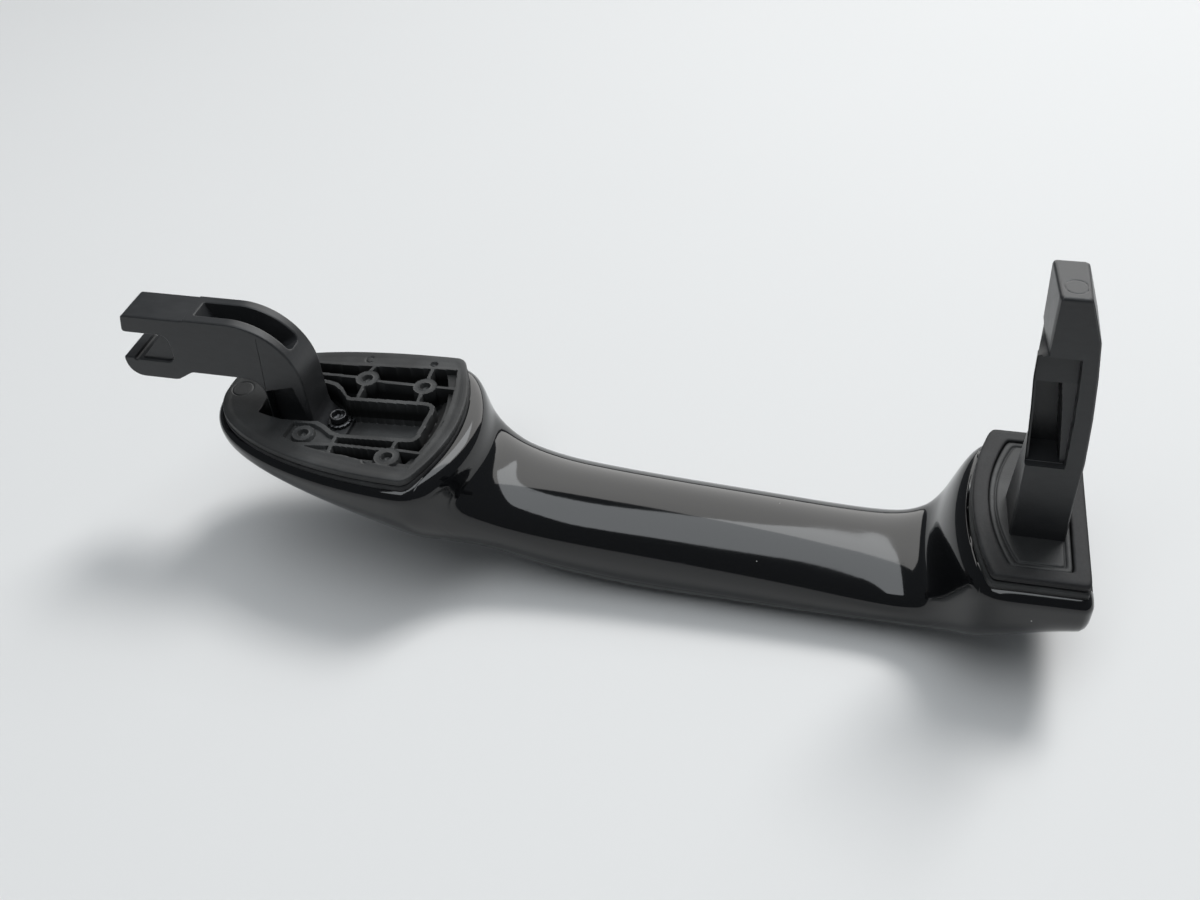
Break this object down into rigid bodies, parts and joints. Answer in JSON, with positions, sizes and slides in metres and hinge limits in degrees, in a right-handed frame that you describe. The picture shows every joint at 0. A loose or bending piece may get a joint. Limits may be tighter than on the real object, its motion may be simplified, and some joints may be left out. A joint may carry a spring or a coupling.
{
  "type": "car door handle",
  "caption": "Exterior strap door handle off the car: gloss body, forked hook arm on a ribbed front seat, tall actuating post on the rear seat.",
  "frame": {"origin": "under the middle of the bounding box, on the surface that the crown of the painted face lies on", "axes": "+X from the pivot fork at the front to the post at the rear, +Z into the car, away from the painted outer face, +Y to the left of +X"},
  "size_m": [0.2283, 0.0488, 0.0977],
  "materials": {
    "gloss_paint": "high-gloss black paint over moulded plastic, with dust and fine hairline scratches",
    "arm_nylon": "dark grey glass-filled nylon, fine eroded grain, satin on the edges",
    "base_plastic": "dark grey moulded plastic with a fine grain",
    "gasket_rubber": "matt black rubber",
    "plated_steel": "zinc-plated steel",
    "brass_insert": "plain brass",
    "beam_nylon": "natural moulded black nylon"
  },
  "bodies": {
    "root": {"outer_shell": "gloss_paint", "inner_shell": "gloss_paint", "reinforcement_beam": "beam_nylon", "front_base": "base_plastic", "front_gasket": "gasket_rubber", "front_hook_arm": "arm_nylon", "hook_screw": "plated_steel", "hook_lock_washer": "plated_steel", "hook_insert": "brass_insert", "front_base_screw_1": "plated_steel", "front_base_screw_2": "plated_steel", "front_base_screw_3": "plated_steel", "rear_gasket": "gasket_rubber", "rear_base": "base_plastic", "rear_post": "arm_nylon", "rear_base_screw_1": "plated_steel", "rear_base_screw_2": "plated_steel", "rear_post_screw_1": "plated_steel", "rear_post_screw_2": "plated_steel", "strap_screw_1": "plated_steel", "strap_screw_2": "plated_steel"}
  },
  "joints": []
}
